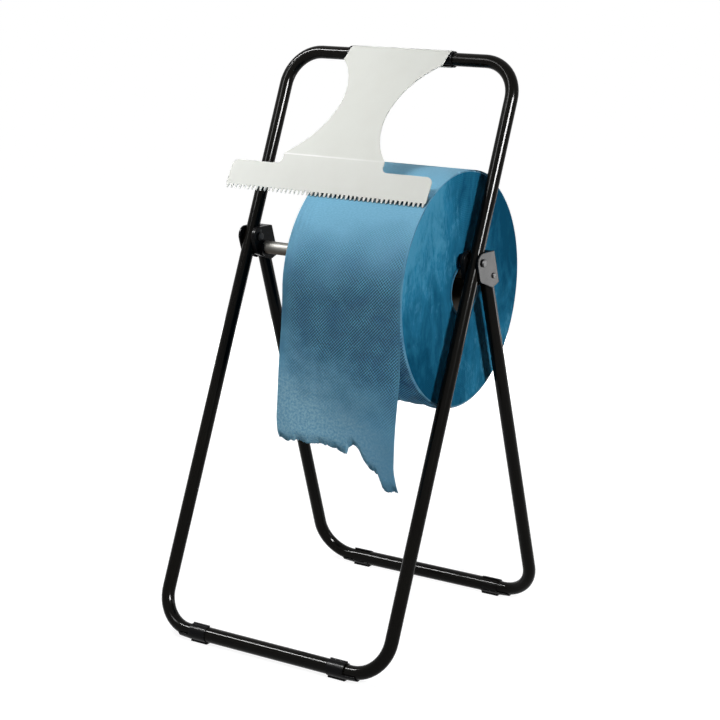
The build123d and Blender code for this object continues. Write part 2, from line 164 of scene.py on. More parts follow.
def rgb(red, green, blue):
    return (red, green, blue, 1.0)


def dress(material, *names):
    """Puts a finish on every slot of these nodes."""
    for name in names:
        for slot in nodes[name].material_slots:
            slot.material = material
    print(material.name, "on", len(names), "nodes")


# %% [markdown]
# ## Gloss black powder coat
# The tubes are coated steel: nearly black, a little warm, and so smooth that lamps show as crisp lines.
# A faint orange peel of about a millimetre, cloudy gloss and a few dull scuffs keep it from looking like black glass.

# %% Coat the tubes
def gloss_black_coat():
    f = Finish("gloss_black_coat")
    where = f.where()
    peel = f.cloud(where, per_metre=700, detail=2)
    haze = f.cloud(where, per_metre=16, detail=5)
    upright = f.placed(where, scale=(1, 1, 0.35))
    scuff = f.spread(f.cloud(upright, per_metre=190, detail=6, rough=0.7), low=0.66, high=0.72)
    coat = f.mix(haze, rgb(0.003, 0.0026, 0.002), rgb(0.0065, 0.0056, 0.0042))
    rubbed = rgb(0.018, 0.016, 0.013)
    colour = f.mix(f.math("MULTIPLY", scuff, 0.4), coat, rubbed)
    cloudy_gloss = f.spread(haze, *cloud_range, new_low=0.1, new_high=0.14)
    rough = f.math("ADD", cloudy_gloss, f.math("MULTIPLY", scuff, 0.1))
    return f.end(f.shader(Base_Color=colour, Roughness=rough, Specular_IOR_Level=0.06,
                          Normal=f.relief(peel, depth=0.00003, strength=0.06)))


dress(gloss_black_coat(), "front_frame_tube", "front_base_bar", "rear_left_leg_tube", "rear_right_leg_tube",
      "rear_base_bar")

# %% [markdown]
# ## Satin black mouldings
# Brackets, cradles, feet, bushes and plugs are moulded plastic with a fine spark-eroded grain. The grain is finer
# than half a millimetre, so it only softens the shine, and rubbed places are a little glossier and greyer. Moulded
# edges are never sharp, and small real rounds would cost many faces, so the finish rounds their shine instead.

# %% Mould the plastic
def satin_black_plastic():
    f = Finish("satin_black_plastic")
    where = f.where()
    grain = f.cloud(where, per_metre=2600, detail=2)
    rub = f.cloud(where, per_metre=45, detail=5)
    colour = f.mix(rub, rgb(0.003, 0.003, 0.0034), rgb(0.008, 0.008, 0.0088))
    rough = f.spread(rub, *cloud_range, new_low=0.27, new_high=0.21)
    return f.end(f.shader(Base_Color=colour, Roughness=rough, Specular_IOR_Level=0.055,
                          Normal=f.relief(grain, depth=0.00004, strength=0.4, edge=0.0014)))


dress(satin_black_plastic(), "left_hinge_fork", "right_hinge_fork", "left_spindle_holder", "right_spindle_holder",
      "front_left_foot", "front_right_foot", "rear_left_foot", "rear_right_foot",
      "left_plate_bush", "right_plate_bush", "left_spindle_plug", "right_spindle_plug")

# %% [markdown]
# ## Steel parts
# The fasteners are dull dark zinc, which is cloudy. The spindle is a drawn tube: its fine lines run along it, so the
# noise is squeezed across the tube and long in its direction. Its underside is painted dark brown as painted shade.

# %% Plate the fasteners and the spindle
def dark_zinc():
    f = Finish("dark_zinc")
    where = f.where()
    bloom = f.cloud(where, per_metre=420, detail=4)
    pitting = f.cloud(where, per_metre=1800, detail=2)
    colour = f.mix(bloom, rgb(0.014, 0.014, 0.0145), rgb(0.045, 0.045, 0.046))
    rough = f.spread(bloom, *cloud_range, new_low=0.3, new_high=0.48)
    return f.end(f.shader(Base_Color=colour, Metallic=1.0, Roughness=rough,
                          Normal=f.relief(pitting, depth=0.00004, strength=0.5)))


def bright_drawn_steel():
    f = Finish("bright_drawn_steel")
    where = f.where()
    drawn_line = f.cloud(f.placed(where, scale=(0.02, 1, 1)), per_metre=1500, detail=3)
    stain = f.cloud(where, per_metre=38, detail=4)
    above_middle = f.math("SUBTRACT", f.parts(where)["Z"], spindle_z)
    uneven_line = f.math("MULTIPLY_ADD", stain, 0.004, above_middle)
    # Below the middle the tube turns dark brown: painted shade on the underside.
    underside_shade_mask = f.spread(uneven_line, low=0.0035, high=-0.0055)
    bright = f.mix(stain, rgb(0.1, 0.098, 0.09), rgb(0.16, 0.158, 0.148))
    painted_underside_shade = rgb(0.05, 0.04, 0.03)
    colour = f.mix(underside_shade_mask, bright, painted_underside_shade)
    rough = f.math("ADD", f.spread(drawn_line, *cloud_range, new_low=0.46, new_high=0.54),
                   f.spread(stain, 0.4, 0.8, new_low=0.0, new_high=0.06))
    return f.end(f.shader(Base_Color=colour, Metallic=1.0, Roughness=rough,
                          Normal=f.relief(drawn_line, depth=0.00003, strength=0.5)))


dress(dark_zinc(), "left_pivot_bolt", "right_pivot_bolt", "left_pivot_nut", "right_pivot_nut", "left_stop_stud",
      "right_stop_stud", "left_fork_rivet", "right_fork_rivet")
dress(bright_drawn_steel(), "spindle_tube")

# %% [markdown]
# ## Off-white plate
# The tear plate is sheet steel with a warm white coat, thicker and duller than the black one. It has a soft orange
# peel and barely visible smudges where hands and paper rub. Along the fold a thin pale line is a painted highlight,
# which is plainest at the left and fades to the right.

# %% Coat the plate
fold_z = 0.794
# Half widths of the painted highlight along the fold.
highlight_heart, highlight_rim = 0.0004, 0.0015


def off_white_coat():
    f = Finish("off_white_coat")
    where = f.where()
    peel = f.cloud(where, per_metre=520, detail=2)
    smudge = f.cloud(f.placed(where, scale=(1, 0.6, 0.6)), per_metre=22, detail=6, rough=0.6)
    coat = f.mix(f.spread(smudge, 0.35, 0.75), rgb(0.775, 0.79, 0.745), rgb(0.755, 0.765, 0.718))
    part = f.parts(where)
    off_fold = f.math("ABSOLUTE", f.math("SUBTRACT", part["Z"], fold_z))
    # Near the fold the pale colour is a painted highlight, strongest at the left and fading to the right.
    fold_highlight_mask = f.spread(off_fold, highlight_heart, highlight_rim, new_low=1.0, new_high=0.0)
    painted_light_fades_right = f.spread(part["X"], low=-0.03, high=0.09, new_low=0.95, new_high=0.2)
    painted_fold_highlight = rgb(0.99, 0.99, 0.97)
    colour = f.mix(f.math("MULTIPLY", fold_highlight_mask, painted_light_fades_right), coat, painted_fold_highlight)
    rough = f.spread(smudge, *cloud_range, new_low=0.44, new_high=0.5)
    return f.end(f.shader(Base_Color=colour, Roughness=rough, Specular_IOR_Level=0.05,
                          Normal=f.relief(peel, depth=0.00005, strength=0.3)))


dress(off_white_coat(), "tear_plate")

# %% [markdown]
# ## Card core
# The roll is wound on a tube of card strips that lie at a slant, so a thin seam runs round it as a screw line.
# The angle about the axis plus the way along it gives that line without any texture map. Blue lint furs both ends.
# The card is painted nearly black: a painted shade for the dark inside of the bore.

# %% Wind the core
seam_rise, seam_half = 0.11, 0.012
lint_depth = 0.004


def wound_card():
    f = Finish("wound_card")
    where = f.where()
    part = f.parts(f.placed(where, location=(0, -axis_y, -axis_z)))
    turn = f.math("DIVIDE", f.math("ARCTAN2", part["Z"], part["Y"]), math.tau)
    screw = f.math("FRACT", f.math("ADD", turn, f.math("DIVIDE", part["X"], seam_rise)))
    off_seam = f.math("ABSOLUTE", f.math("SUBTRACT", screw, 0.5))
    seam = f.spread(off_seam, 0.0, seam_half, new_low=1.0, new_high=0.0)
    fibre = f.cloud(where, per_metre=900, detail=6, rough=0.7)
    # The card's nearly black tone is a painted shade for the dark inside of the bore.
    card_in_painted_shade = f.mix(fibre, rgb(0.026, 0.02, 0.014), rgb(0.045, 0.035, 0.024))
    glue, blue_lint = rgb(0.012, 0.009, 0.006), rgb(0.008, 0.17, 0.31)
    colour = f.mix(f.math("MULTIPLY", seam, 0.6), card_in_painted_shade, glue)
    off_middle = f.math("ABSOLUTE", f.math("SUBTRACT", part["X"], roll_middle))
    lint = f.spread(off_middle, roll_width / 2 - lint_depth, roll_width / 2)
    colour = f.mix(lint, colour, blue_lint)
    rough = f.spread(fibre, *cloud_range, new_low=0.75, new_high=0.9)
    return f.end(f.shader(Base_Color=colour, Roughness=rough, Specular_IOR_Level=0.2,
                          Normal=f.relief(f.math("SUBTRACT", fibre, seam), depth=0.0002, strength=0.6)))


dress(wound_card(), "roll_core")

# %% [markdown]
# ## Embossed blue paper
# The wiping paper is soft, creped and pressed with slanting lines 3.6 millimetres apart, crossed by weaker ones.
# Their dark colour is partly the pressed paper's own tone and partly painted shade in the grooves. The lines follow
# the sheet, so they are drawn on its own map, in metres across and along the paper. They fade out over the roll's top
# and under the plate, and at the paler foot, so a mask along the paper fades them in and out again. Towards the right
# the foot is darkened with painted shade.
# Between the plate's teeth the paper lies in deep shade. A dark band painted there would stay when the plate is
# lifted, so the free end darkens wherever something lies close above it, which Ambient Occlusion tells.
# The free end also lets a quarter of the light through. On the roll that share is lost inside, so there the pale
# paper is darkened by the same quarter, and the free end's start hardly shows.

# %% Lines on the paper
paper_map = "paper_run"
line_slant, line_pitch = 45.5, 0.0036
cross_slant, cross_pitch = -43, 0.0042
light_through = 0.25
close_above = 0.012
left_margin, right_margin = (0.004, 0.026), (roll_width - 0.005, roll_width - 0.002)
rim_streaks = (0.006, 0.03)
pale_blue = rgb(0.225, 0.59, 0.84), rgb(0.31, 0.7, 0.97)
fluffy_blue = rgb(0.185, 0.48, 0.72), rgb(0.53, 0.86, 0.99)
pressed_blue = rgb(0.14, 0.45, 0.74), rgb(0.235, 0.71, 0.99)
glow_blue = rgb(0.3, 0.6, 0.78), rgb(0.42, 0.72, 0.88)
line_and_groove_shade_blue, rim_blue, painted_shade_blue = rgb(0.014, 0.044, 0.1), rgb(0.12, 0.36, 0.57), rgb(0.115, 0.31, 0.49)
deep_shade = rgb(0.005, 0.012, 0.018)


def slanting_lines(f, across, along, degrees, pitch):
    """A wave from 0 to 1 that repeats every pitch in the direction of degrees on the paper."""
    a = f.math("MULTIPLY", across, math.tau * math.cos(math.radians(degrees)) / pitch)
    b = f.math("MULTIPLY_ADD", along, math.tau * math.sin(math.radians(degrees)) / pitch, a)
    return f.math("MULTIPLY_ADD", f.math("SINE", b), 0.5, 0.5)


def crossed_lines(f, run, across, along):
    """Strong lines plus weak crossing ones, whose strength drifts, plus a grain that breaks them up."""
    strong = slanting_lines(f, across, along, line_slant, line_pitch)
    weak = slanting_lines(f, across, along, cross_slant, cross_pitch)
    crossing = f.spread(f.cloud(run, per_metre=30, detail=2), 0.35, 0.7, new_low=0.3, new_high=1.2)
    grain = f.math("MULTIPLY", f.math("SUBTRACT", f.cloud(run, per_metre=330, detail=2), 0.5), 1.1)
    return f.math("MULTIPLY_ADD", f.math("SUBTRACT", weak, 0.5), crossing, f.math("ADD", strong, grain))


print("lines every", line_pitch, "at", line_slant, "degrees")

# %% Emboss the paper
def embossed_paper(name, free, lines_begin, lines_end):
    """Pale paper where the lines fade out, deeper blue with dark lines between where they begin and end."""
    f = Finish(name)
    run = f.add("UVMap", uv_map=paper_map).outputs[0]
    part = f.parts(run)
    across, along = part["X"], part["Y"]
    patch = f.math("SUBTRACT", f.cloud(run, per_metre=17, detail=4), 0.5)
    drift = f.math("MULTIPLY_ADD", patch, 0.14, along)
    begins = f.spread(f.math("MULTIPLY_ADD", across, 0.06, drift), *lines_begin)
    ends = f.spread(f.math("MULTIPLY_ADD", across, -0.3, drift), *lines_end, 1.0, 0.0)
    pressed = f.math("MULTIPLY", begins, ends)
    inside = f.math("MULTIPLY", f.spread(across, *left_margin), f.spread(across, *right_margin, 1.0, 0.0))
    fluff = f.cloud(run, per_metre=240, detail=5, rough=0.7)
    crepe = f.cloud(f.placed(run, scale=(0.4, 1, 1)), per_metre=560, detail=3, rough=0.6)
    pale = f.mix(f.spread(crepe, 0.36, 0.64), *pale_blue)
    if free:
        fluffy = f.mix(f.spread(fluff, 0.38, 0.63), *fluffy_blue)
        # The share of the darker blue rising to the right is painted shade on the foot.
        painted_light_fades_right = f.spread(across, 0.07, roll_width, new_low=0.0, new_high=0.85)
        fluffy = f.mix(painted_light_fades_right, fluffy, painted_shade_blue)
        pale = f.mix(f.math("SUBTRACT", 1.0, ends), pale, fluffy)
    else:
        pale = f.mix(light_through, pale, rgb(0, 0, 0))
    worn = f.spread(f.cloud(run, per_metre=34, detail=3), 0.38, 0.66)
    ground = f.mix(pressed, pale, f.mix(worn, *pressed_blue))
    plain_rim = f.math("MULTIPLY", f.math("SUBTRACT", 1.0, inside), 0.48)
    lines = f.spread(crossed_lines(f, run, across, along), 0.38, 0.62)
    marks = f.math("MULTIPLY", f.math("MULTIPLY_ADD", lines, inside, plain_rim), pressed)
    # The dark line colour is partly the pressed paper's tone and partly painted shade in the grooves.
    colour = f.mix(marks, ground, line_and_groove_shade_blue)
    streak = f.cloud(f.placed(run, scale=(1, 0.03, 1)), per_metre=420, detail=3)
    rim = f.math("MULTIPLY", f.spread(across, *rim_streaks, 1.0, 0.0), f.spread(streak, 0.35, 0.7))
    colour = f.mix(f.math("MULTIPLY", rim, 0.3), colour, rim_blue)
    if free:
        open_air = f.add("AmbientOcclusion", {"Distance": close_above}, samples=8).outputs["AO"]
        shade = f.spread(open_air, 0.52, 0.85, new_low=0.97, new_high=0.0)
        colour = f.mix(shade, colour, deep_shade)
    height = f.math("MULTIPLY_ADD", fluff, 0.6, f.math("MULTIPLY", marks, -0.7))
    normal = f.relief(height, depth=0.0007, strength=0.7)
    rough = f.spread(fluff, *cloud_range, new_low=0.8, new_high=0.95)
    front = f.shader(Base_Color=colour, Roughness=rough, Specular_IOR_Level=0.06,
                     Sheen_Weight=0.15, Sheen_Roughness=0.5, Normal=normal)
    if not free:
        return f.end(front)
    back = f.add("BsdfTranslucent", {"Color": f.mix(fluff, *glow_blue), "Normal": normal}).outputs[0]
    return f.end(f.add("MixShader", {0: light_through, 1: front, 2: back}).outputs[0])


roll_paper = embossed_paper("wound_blue_paper", free=False, lines_begin=(0.98, 0.68), lines_end=(-0.5, 2.6))
free_paper = embossed_paper("free_blue_paper", free=True, lines_begin=(0.275, 0.39), lines_end=(0.445, 0.55))
print("paper finishes", roll_paper.name, free_paper.name)

# %% [markdown]
# ## The roll's cut end
# At its ends the roll shows the cut edges of its layers: deep blue between them, with pale upright smears where the
# edges are brushed open. Clouds that are stretched and stirred give the smears, and a sine of the distance from the
# axis gives the layers, which is cheaper than drawing each one.

# %% Layer the end
layer_pitch = 0.0029
end_rim = (roll_radius - 0.0026, roll_radius - 0.0008)
end_blue = rgb(0.004, 0.11, 0.22), rgb(0.035, 0.32, 0.57)
brushed_blue, gap_blue, end_rim_blue = rgb(0.11, 0.46, 0.71), rgb(0.004, 0.06, 0.13), rgb(0.2, 0.48, 0.64)


def layered_paper_end():
    """Smears from three stretched clouds, a tone paler at the upper front and lower back, and layers as rings about
    the axis.
    """
    f = Finish("layered_paper_end")
    flat = f.placed(f.where(), location=(0, -axis_y, -axis_z), scale=(0, 1, 1))
    far = f.add("VectorMath", {0: flat}, operation="LENGTH").outputs["Value"]

    def upright_cloud(narrow, tilt, **look):
        return f.cloud(f.placed(flat, scale=(1, narrow, 1), turn=(tilt, 0, 0)), **look)

    drag = upright_cloud(2.4, 0.16, per_metre=17, detail=7, rough=0.62, swirl=0.9)
    smear = upright_cloud(1.8, -0.1, per_metre=9, detail=5, rough=0.6, swirl=1.6)
    hair = upright_cloud(3, 0.1, per_metre=75, detail=4, rough=0.7, swirl=1.2)
    fibre = f.cloud(flat, per_metre=600, detail=5, rough=0.75)
    layer = f.math("SINE", f.math("MULTIPLY_ADD", far, math.tau / layer_pitch, f.math("MULTIPLY", drag, 8.0)))
    part = f.parts(flat)
    # uneven makes the end paler at the upper front and lower back, and darker at the upper back and lower front.
    uneven = f.math("MULTIPLY", f.math("MULTIPLY", part["Y"], part["Z"]), -11.0)
    uneven = f.math("MULTIPLY_ADD", part["Y"], -0.45, uneven)
    cloudy = f.math("MULTIPLY_ADD", drag, 0.35, f.math("MULTIPLY", hair, 0.15))
    cloudy = f.math("MULTIPLY_ADD", smear, 0.5, cloudy)
    share = f.spread(f.math("ADD", cloudy, uneven), 0.36, 0.68)
    tone = f.mix(share, *end_blue)
    brushed = f.math("MULTIPLY_ADD", drag, 0.6, f.math("MULTIPLY_ADD", hair, 0.4, uneven))
    tone = f.mix(f.spread(brushed, 0.56, 0.72, new_low=0.0, new_high=0.85), tone, brushed_blue)
    tone = f.mix(f.spread(layer, -1.0, 1.0, new_low=0.14, new_high=0.0), tone, gap_blue)
    colour = f.mix(f.spread(far, *end_rim, new_low=0.0, new_high=0.3), tone, end_rim_blue)
    height = f.math("MULTIPLY_ADD", layer, 0.25, f.math("MULTIPLY_ADD", fibre, 0.6, smear))
    rough = f.spread(fibre, *cloud_range, new_low=0.82, new_high=0.96)
    return f.end(f.shader(Base_Color=colour, Roughness=rough, Specular_IOR_Level=0.01,
                          Normal=f.relief(height, depth=0.0008, strength=0.6)))


end_paper = layered_paper_end()
print("end finish", end_paper.name, "with layers every", layer_pitch)

# %% [markdown]
# ## From a grid of points to a mesh
# Every new surface is an array of points with rows and columns. Neighbours on the grid make the faces, and a grid
# that comes back to its start is closed by counting round, so it needs no seam and no pole.

# %% Grid helpers
def grid_faces(rows, columns, ring_rows=False, ring_columns=False):
    """Corners of the quad at (r, c): itself, the next column, both next, the next row, as one array of indices."""
    r = np.arange(rows if ring_rows else rows - 1)[:, None]
    c = np.arange(columns if ring_columns else columns - 1)[None, :]
    r2, c2 = (r + 1) % rows, (c + 1) % columns
    quad = [r * columns + c, r * columns + c2, r2 * columns + c2, r2 * columns + c]
    return np.stack(np.broadcast_arrays(*quad), axis=-1).reshape(-1, 4)


def mesh_piece(name, points, faces, materials, runs=None, slots=None):
    """An object at the origin from points (n, 3) and quads (m, 4), with a map in metres for each face corner."""
    mesh = bpy.data.meshes.new(name)
    mesh.vertices.add(len(points))
    mesh.vertices.foreach_set("co", points.astype(np.float32).ravel())
    mesh.loops.add(faces.size)
    mesh.loops.foreach_set("vertex_index", faces.astype(np.int32).ravel())
    mesh.polygons.add(len(faces))
    mesh.polygons.foreach_set("loop_start", np.arange(0, faces.size, 4, dtype=np.int32))
    for material in materials:
        mesh.materials.append(material)
    if slots is not None:
        mesh.polygons.foreach_set("material_index", slots.astype(np.int32))
    if runs is not None:
        mesh.uv_layers.new(name=paper_map).data.foreach_set("uv", runs.astype(np.float32).ravel())
    mesh.update(calc_edges=True)
    mesh.polygons.foreach_set("use_smooth", np.ones(len(faces), dtype=bool))
    piece = bpy.data.objects.new(name, mesh)
    bpy.context.collection.objects.link(piece)
    print(name, len(points), "points", len(faces), "faces")
    return piece


def uneven_wave(phase, pitches, sizes):
    """A smooth uneven wave: sines whose pitches do not fit each other, added up."""
    return sum(size * np.sin(phase * pitch + 1.7 * pitch) for pitch, size in zip(pitches, sizes))


def rise(value, low, high):
    """0 below low, 1 above high, and a soft S between them."""
    share = np.clip((value - low) / (high - low), 0, 1)
    return share * share * (3 - 2 * share)


print("a grid of 3 rows and 4 columns has", len(grid_faces(3, 4)), "faces, or", len(grid_faces(3, 4, True, True)),
      "when both ways are closed")

# %% [markdown]
# ## The wound roll
# The roll is a few hundred metres of paper on the core. Layer by layer it would be millions of faces, so it is one
# closed ring: a profile of radius and width is carried round the axis. The left rim is round and soft, the right one
# is crisp, the end faces step in and out a little where layers wandered, and loose outer turns sag in waves below.
# The map of the paper begins under the free end, so that its seam is out of sight.

# %% Measures of the roll
skin_depth, core_play = 0.0009, 0.0002
left_rim, right_rim = 0.006, 0.002
face_steps, rim_steps, skin_steps, bore_steps, round_steps = 44, 8, 60, 6, 480
seam_row = round_steps // 3
layer_wander, end_skew, edge_drop, skin_ripple = 0.00075, 0.0062, 0.0006, 0.00025
slack_depth, slack_begins = 0.0032, 0.2
skin_radius = roll_radius - skin_depth
bore_radius = core_radius + core_play
print("skin radius", round(skin_radius, 4), "bore radius", round(bore_radius, 4))


# %% Shape the roll
def roll_profile():
    """Radius and width along one closed line: left face outwards, round the rim, along the skin, and back inside."""
    quarter = np.linspace(0, np.pi / 2, rim_steps + 1)
    left_face = np.linspace(bore_radius, skin_radius - left_rim, face_steps, endpoint=False)
    right_face = np.linspace(skin_radius - right_rim, bore_radius, face_steps + 1)[1:]
    skin = np.linspace(roll_left + left_rim, roll_right - right_rim, skin_steps + 1)[1:-1]
    bore = np.linspace(roll_right, roll_left, bore_steps + 2)[1:-1]
    radius = [left_face, skin_radius - left_rim * (1 - np.sin(quarter)), np.full(skin.size, skin_radius),
              skin_radius - right_rim * (1 - np.cos(quarter)), right_face, np.full(bore.size, bore_radius)]
    width = [np.full(left_face.size, roll_left), roll_left + left_rim * (1 - np.cos(quarter)), skin,
             roll_right - right_rim * (1 - np.sin(quarter)), np.full(right_face.size, roll_right), bore]
    kind = [np.full(line.size, number) for line, number in zip(radius, (1, 0, 0, 0, 1, 1))]
    return np.concatenate(radius), np.concatenate(width), np.concatenate(kind)


def roll_points():
    """The profile turned about the axis, with layers that wander on the faces and slack turns below."""
    radius, width, kind = roll_profile()
    turn = np.linspace(0, math.tau, round_steps, endpoint=False)[:, None]
    out = (radius[None, :] - bore_radius) / (skin_radius - bore_radius)
    across = (width[None, :] - roll_left) / roll_width
    wander = uneven_wave(out * 9 + 0.05 * np.sin(turn), pitches=(3.1, 7.3, 12.7), sizes=(0.34, 0.24, 0.16))
    wander = wander + 0.2 * np.sin(3 * turn + 14 * out) + 0.14 * np.sin(7 * turn - 31 * out)
    inward = layer_wander * (1 + np.clip(wander, -1, 1)) * (out > 0.02)
    at_end = (across > 0.992).astype(float) - (across < 0.008)
    skew = end_skew * rise(across, 0.5, 1.0) * (1 + np.cos(turn)) / 2
    x = width[None, :] - at_end * inward - skew
    below = np.clip((-np.sin(turn) - slack_begins) / (1 - slack_begins), 0, 1) ** 1.5
    slack = uneven_wave((width[None, :] - roll_left) * 60 + 0.3 * np.cos(turn), pitches=(1.0, 2.3, 3.7, 5.9),
                        sizes=(0.3, 0.3, 0.25, 0.2))
    sag = slack_depth * below * (1 + 0.85 * slack) * np.clip(out, 0, 1) ** 8
    on_skin = out > 0.97
    soft_edge = edge_drop * rise(np.abs(across - 0.5), 0.42, 0.5) * on_skin
    r = radius[None, :] + sag - soft_edge + skin_ripple * np.sin(turn * 5) * on_skin
    points = np.stack([x + 0 * turn, axis_y + r * np.cos(turn), axis_z + r * np.sin(turn)], axis=-1)
    return points, width, kind


def roll_runs(width, faces, columns):
    """For each face corner: how far across the paper, and how far round the roll from the seam, in metres."""
    row, column = (faces // columns - seam_row) % round_steps, faces % columns
    crosses = row.max(axis=1, keepdims=True) == round_steps - 1
    round_at = np.where((row == 0) & crosses, round_steps, row)
    return np.stack([width[column] - roll_left, round_at / round_steps * math.tau * roll_radius], axis=-1)


print("profile of", roll_profile()[0].size, "points, carried round in", round_steps, "steps")

# %% Make the roll, its faces turned outwards
wound_points, wound_width, wound_kind = roll_points()
wound_faces = grid_faces(round_steps, wound_width.size, True, True)[:, ::-1]
wound_slots = wound_kind[wound_faces % wound_width.size].max(axis=1)
wound_paper = mesh_piece("wound_paper", wound_points.reshape(-1, 3), wound_faces, [roll_paper, end_paper],
                         roll_runs(wound_width, wound_faces, wound_width.size), wound_slots)
corners = wound_points.reshape(-1, 3)[wound_faces]
volume = np.einsum("ij,ij->i", corners[:, 0], np.cross(corners[:, 1], corners[:, 2])).sum() / 3
print("roll volume, positive where faces point outwards:", round(volume, 5))

# %% [markdown]
# ## The free end
# The outer turn comes over the top of the roll, leaves it at the front and hangs down to a torn edge. A cloth
# simulation could drape it, but the tear and the slow bow are known, so it is one computed strip: its points follow
# the roll, then the bow, and each column is as long as the tear left it. Upright ridges run near the left rim. Below
# the roll light comes through from behind, so this paper has a translucent share. A Solidify modifier gives it its
# thickness.

# %% Measures of the strip
strip_start, lift_start = math.radians(62), math.radians(135)
strip_columns, strip_rows = 241, 195
bow_radius, paper_thickness = 3.0, 0.0004
press_in, lift_off, tuck_in = 0.0003, 0.0009, 0.0004
curl_depth, curl_length = 0.0055, 0.016
ridge_height, ridge_waves, ridge_begins, ridge_full, ridge_fades = 0.00042, 158, 0.232, 0.28, 0.08
crease_height, crease_drop, crease_width = 0.0011, 0.034, 0.007
tear_across = (0, 0.05, 0.13, 0.44, 0.59, 0.6, 0.635, 0.7, 0.77, 0.84, 0.875, 0.91, 0.96, 1)
tear_drop = (0.8, 0.815, 0.8, 0.8, 0.825, 0.795, 0.77, 0.8, 0.88, 0.9, 0.955, 0.985, 0.975, 0.975)
torn_steps, step_depth = 45, 0.0034
torn_fibres, fibre_depth = 200, 0.0016
slow_wave, quick_wave = 0.0024, 0.0011
left_inset, left_foot_inset = 0.0048, 0.004
right_sway, right_foot_flare = 0.0016, 0.0075
print("tear corners", len(tear_across))


# %% Shape the strip
def torn_edge(share):
    """How far each column hangs: a line through the tear's corners, less steps of 5 mm and short fibres of 1 mm."""
    chance = np.random.default_rng(7)
    steps = np.interp(share * torn_steps, np.arange(torn_steps + 1), chance.random(torn_steps + 1))
    fibres = np.interp(share * torn_fibres, np.arange(torn_fibres + 1), chance.random(torn_fibres + 1))
    return np.interp(share, tear_across, tear_drop) * hang_length - step_depth * steps - fibre_depth * fibres


def strip_points():
    """Rows follow the paper's length: an arc on the roll, then a bow, with slow waves that grow towards the tear."""
    share = np.linspace(0, 1, strip_columns)[None, :]
    on_roll = (math.pi - strip_start) * roll_radius
    length = on_roll + torn_edge(share)
    run = np.linspace(0, 1, strip_rows)[:, None] * length
    angle = strip_start + np.minimum(run, on_roll) / roll_radius
    drop = np.maximum(run - on_roll, 0)
    low = drop / hang_length
    curl = curl_depth * np.clip(1 - (length - run) / curl_length, 0, 1) ** 2 * (1 + 0.35 * np.sin(share * 41))
    ridge = ridge_height * (1 + np.sin(share * ridge_waves + 1.2 * np.sin(angle * 9)))
    ridge = ridge * (1 - rise(share, 0.05, 0.24)) * rise(run, ridge_begins, ridge_full)
    ridge = ridge * (1 - rise(drop, 0.0, ridge_fades))
    tuck = tuck_in * np.clip(1 - (angle - strip_start) / 0.3, 0, 1)
    radius = roll_radius - press_in + lift_off * rise(angle, lift_start, math.pi) - tuck + ridge
    wave = slow_wave * np.sin(share * 7.1 + 0.4) + quick_wave * np.sin(share * 17 + 5 * low)
    crease = crease_height * np.exp(-((drop - crease_drop) / crease_width) ** 2) * rise(share, 0.45, 0.75)
    bow = drop ** 2 / (2 * bow_radius) + low ** 2 * wave + crease - curl
    left = roll_left + left_inset * (1 - rise(drop, 0.0, 0.14)) + left_foot_inset * rise(drop, 0.2, 0.24)
    right = roll_right + right_sway * np.sin((drop - 0.045) * 31) + right_foot_flare * rise(drop, 0.25, 0.29)
    x = left + (right - left) * share
    y = axis_y + radius * np.cos(angle) - bow
    z = axis_z + radius * np.sin(angle) - drop
    return np.stack([x, y, z], axis=-1), np.broadcast_to(share, run.shape), run


hangs = torn_edge(np.linspace(0, 1, strip_columns))
print("the strip hangs", round(float(hangs.min()), 4), "to", round(float(hangs.max()), 4), "below the roll's middle")

# %% Make the strip and measure it
strip_grid, strip_share, strip_run = strip_points()
strip_faces = grid_faces(strip_rows, strip_columns)
strip_map = np.stack([strip_share * roll_width, strip_run], axis=-1).reshape(-1, 2)
hanging_paper = mesh_piece("hanging_paper", strip_grid.reshape(-1, 3), strip_faces, [free_paper],
                           strip_map[strip_faces])
thickness = hanging_paper.modifiers.new("paper_thickness", "SOLIDIFY")
thickness.thickness = paper_thickness
thickness.offset = 0.0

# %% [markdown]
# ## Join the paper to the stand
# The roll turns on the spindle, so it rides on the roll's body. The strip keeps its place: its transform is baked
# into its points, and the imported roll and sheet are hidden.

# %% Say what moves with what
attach(wound_paper, "roll")
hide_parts("paper_roll")
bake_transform(hanging_paper)
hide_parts("hanging_sheet")
print("paper joined")

# %% [markdown]
# ## Floor and background
# The stand is shown on white. The floor and the world show white to the camera and in reflections, while the lamps
# alone light the object. A brighter lamp could whiten a grey floor as well, but it would bleach the stand too.

# %% White floor and world
floor_half, floor_lines, floor_z = 30, 13, -0.0004
unseen_level = 0.005


def seen_directly(f):
    """1 for rays from the camera, reflections and glass, 0 for the light that falls on things."""
    path = f.add("LightPath").outputs
    mirrored = f.math("MAXIMUM", path["Is Glossy Ray"], path["Is Transmission Ray"])
    return f.math("MAXIMUM", path["Is Camera Ray"], mirrored)


def white_floor():
    f = Finish("white_floor")
    far = f.add("VectorMath", {0: f.where()}, operation="LENGTH").outputs["Value"]
    glow = f.math("MULTIPLY", f.spread(far, 0.5, 2.2, new_low=0.9, new_high=1.0), seen_directly(f))
    matt = f.add("BsdfDiffuse", {"Color": rgb(0.25, 0.25, 0.25)}).outputs[0]
    shine = f.add("Emission", {"Color": rgb(1, 1, 1), "Strength": glow}).outputs[0]
    return f.end(f.add("AddShader", {0: matt, 1: shine}).outputs[0])


def white_world(world):
    f = Finish("white_world", world)
    level = f.spread(seen_directly(f), 0.0, 1.0, new_low=unseen_level, new_high=1.0)
    return f.end(f.add("Background", {"Color": rgb(1, 1, 1), "Strength": level}).outputs[0], "OutputWorld")


